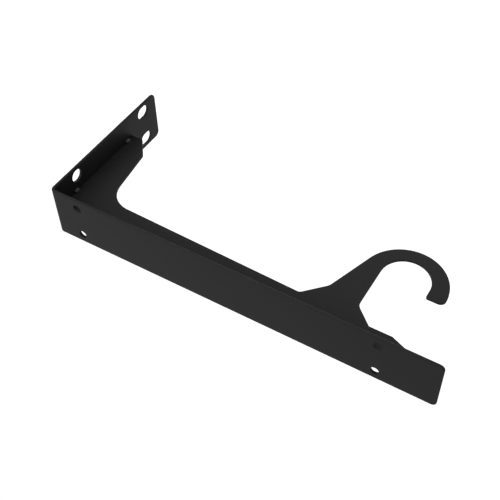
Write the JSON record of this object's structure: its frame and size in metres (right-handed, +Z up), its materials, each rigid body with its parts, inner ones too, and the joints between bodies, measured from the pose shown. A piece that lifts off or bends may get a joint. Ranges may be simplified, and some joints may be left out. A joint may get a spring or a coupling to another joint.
{
  "type": "closet rod bracket",
  "caption": "Black L-shaped shelf bracket with a hook for a closet rod hanging from a plate welded under its arm.",
  "frame": {"origin": "on the wall plane, midway between the upper two wall screws", "axes": "+X out of the wall along the arm, +Y across the width, +Z up, with the shelf on top"},
  "size_m": [0.285, 0.04, 0.12],
  "materials": {
    "strip_coat": "satin black powder coat on steel strip",
    "plate_coat": "satin black powder coat on steel plate",
    "bead_coat": "satin black powder coat pooled over the weld"
  },
  "bodies": {
    "root": {"mounting_strip": "strip_coat", "hook_plate": "plate_coat", "leg_weld_beads": "bead_coat", "arm_weld_beads": "bead_coat"}
  },
  "joints": []
}
